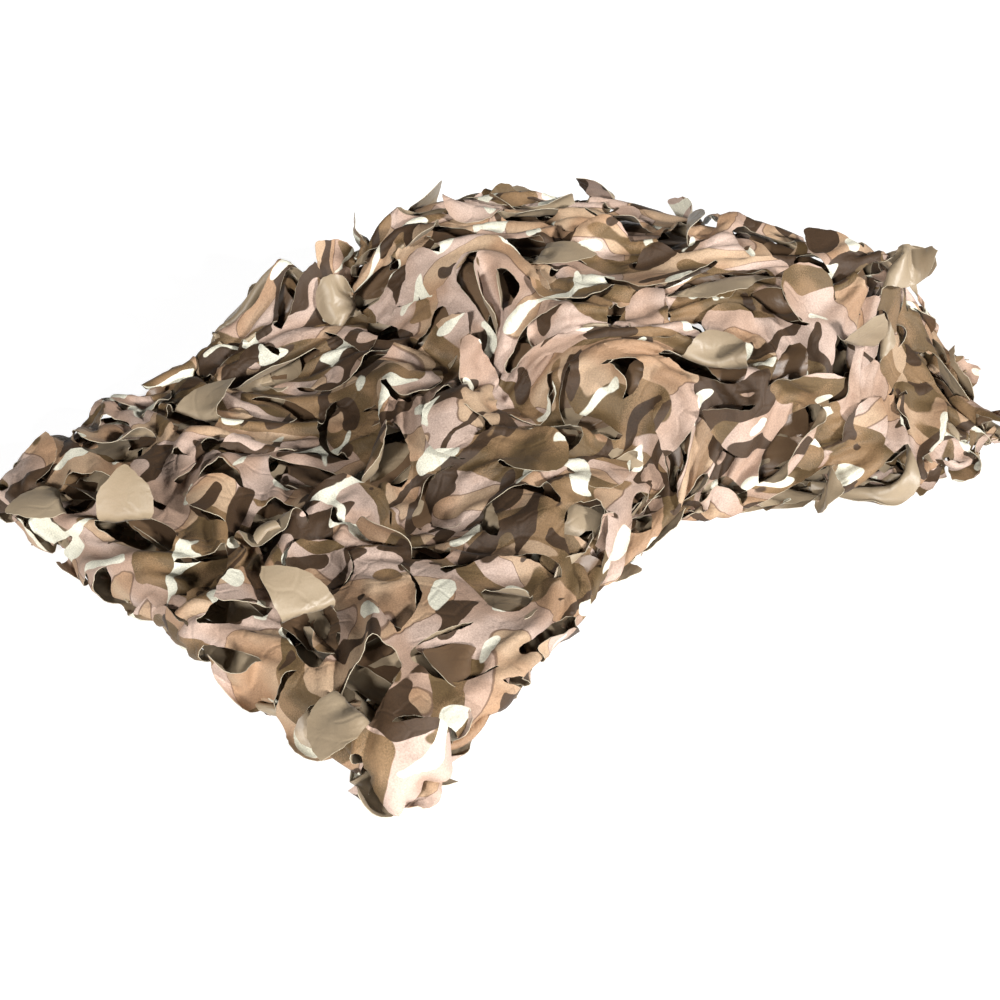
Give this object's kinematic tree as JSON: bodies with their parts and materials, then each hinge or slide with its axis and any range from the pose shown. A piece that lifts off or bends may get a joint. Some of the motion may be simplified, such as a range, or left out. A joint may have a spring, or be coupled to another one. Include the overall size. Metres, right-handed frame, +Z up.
{
  "type": "folded camouflage net",
  "caption": "Leaf-cut camouflage net of printed cloth, folded back and forth into a soft packet with a low front and a thick rear.",
  "frame": {"origin": "centre of the footprint, on the surface that the packet lies on", "axes": "+X from the straight front fold to the far end of the packet, +Z up"},
  "size_m": [0.8184, 0.6592, 0.1983],
  "materials": {
    "printed_cloth": "matt printed woven polyester, half-moon cuts"
  },
  "bodies": {
    "root": {"net_cloth": "printed_cloth"}
  },
  "joints": []
}
